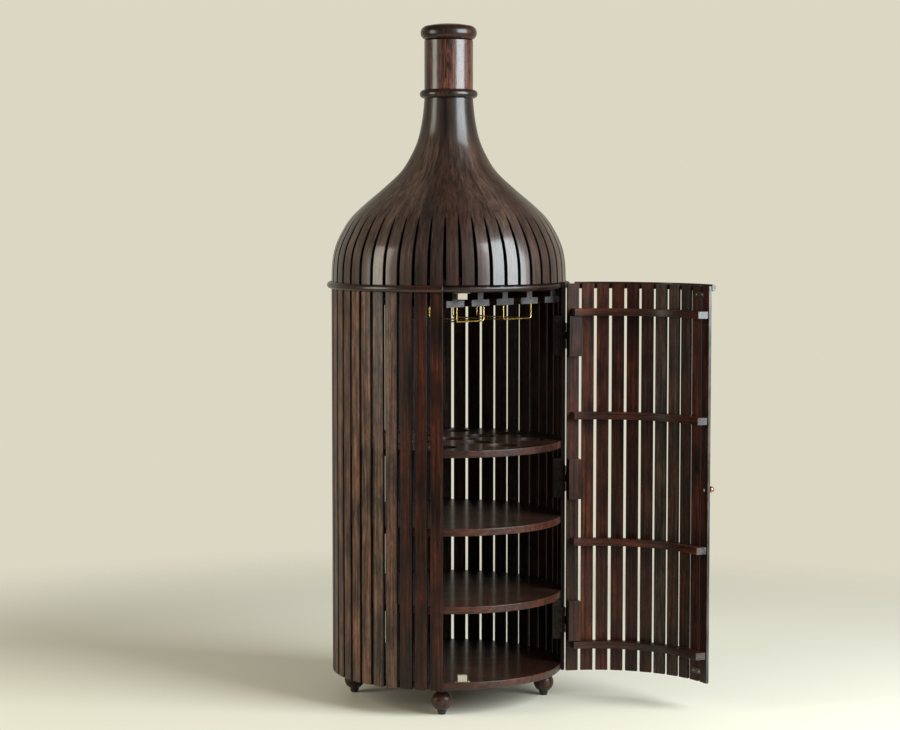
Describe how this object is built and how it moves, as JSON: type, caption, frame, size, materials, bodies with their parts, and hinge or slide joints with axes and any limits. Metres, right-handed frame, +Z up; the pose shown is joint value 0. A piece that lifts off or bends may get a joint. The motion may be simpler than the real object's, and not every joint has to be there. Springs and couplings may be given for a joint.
{
  "type": "bar cabinet",
  "caption": "Bottle-shaped wooden bar cabinet with a slatted round body, a curved hinged door, shelves, a holed bottle shelf and a stemware rack",
  "frame": {"origin": "centre of the base board's underside, on the axis of the round body", "axes": "+Z up along the body's axis, -Y towards the viewer in front, +X to the viewer's right where the door is hinged"},
  "size_m": [0.9547, 0.6106, 1.6887],
  "materials": {
    "slat_wood": "satin dark red-brown hardwood with a long grain",
    "board_wood": "glossier dark red-brown hardwood boards",
    "neck_wood": "polished redder turned hardwood",
    "brass_wire": "bright yellow brass wire",
    "hinge_metal": "dark browned hinge metal",
    "plated_steel": "plain plated steel",
    "knob_metal": "reddish copper-coloured knob",
    "glide_plastic": "black plastic glides",
    "catch_plastic": "cream moulded plastic"
  },
  "bodies": {
    "cabinet": {"base_board": "board_wood", "shelf_lower": "board_wood", "shelf_middle": "board_wood", "bottle_shelf": "board_wood", "top_board": "board_wood", "slats_right": "slat_wood", "slats_back_right": "slat_wood", "slats_back_left": "slat_wood", "slats_left": "slat_wood", "hinge_stile": "slat_wood", "waist_bead": "slat_wood", "dome_shell": "slat_wood", "neck_bead": "slat_wood", "neck_tube": "neck_wood", "neck_lip": "slat_wood", "foot_front": "slat_wood", "foot_right": "slat_wood", "foot_back": "slat_wood", "foot_left": "slat_wood", "glide_front": "glide_plastic", "glide_right": "glide_plastic", "glide_back": "glide_plastic", "glide_left": "glide_plastic", "glass_rail_1": "slat_wood", "glass_rail_2": "slat_wood", "glass_rail_3": "slat_wood", "glass_rail_4": "slat_wood", "glass_rail_5": "slat_wood", "wire_hanger_left": "brass_wire", "wire_hanger_right": "brass_wire", "catch_block_top": "catch_plastic", "catch_block_bottom": "catch_plastic", "catch_plate_top": "plated_steel", "catch_plate_bottom": "plated_steel", "hinge_leaf_body_top": "hinge_metal", "hinge_leaf_body_middle": "hinge_metal", "hinge_leaf_body_bottom": "hinge_metal"},
    "door": {"door_slat_01": "slat_wood", "door_slat_02": "slat_wood", "door_slat_03": "slat_wood", "door_slat_04": "slat_wood", "door_slat_05": "slat_wood", "door_slat_06": "slat_wood", "door_slat_07": "slat_wood", "door_slat_08": "slat_wood", "door_slat_09": "slat_wood", "door_slat_10": "slat_wood", "door_hinge_stile": "slat_wood", "door_bead": "slat_wood", "door_rib_1": "slat_wood", "door_rib_2": "slat_wood", "door_rib_3": "slat_wood", "door_rib_4": "slat_wood", "door_knob": "knob_metal", "knob_screw": "plated_steel", "strike_plate_top": "plated_steel", "strike_plate_bottom": "plated_steel", "hinge_leaf_door_top": "hinge_metal", "hinge_leaf_door_middle": "hinge_metal", "hinge_leaf_door_bottom": "hinge_metal"}
  },
  "joints": [
    {"name": "door_hinge", "type": "hinge", "parent": "cabinet", "child": "door", "pos_m": [0.28997, -0.04852, 0.4875], "axis": [0, 0, 1], "range_deg": [-115, 10]}
  ]
}
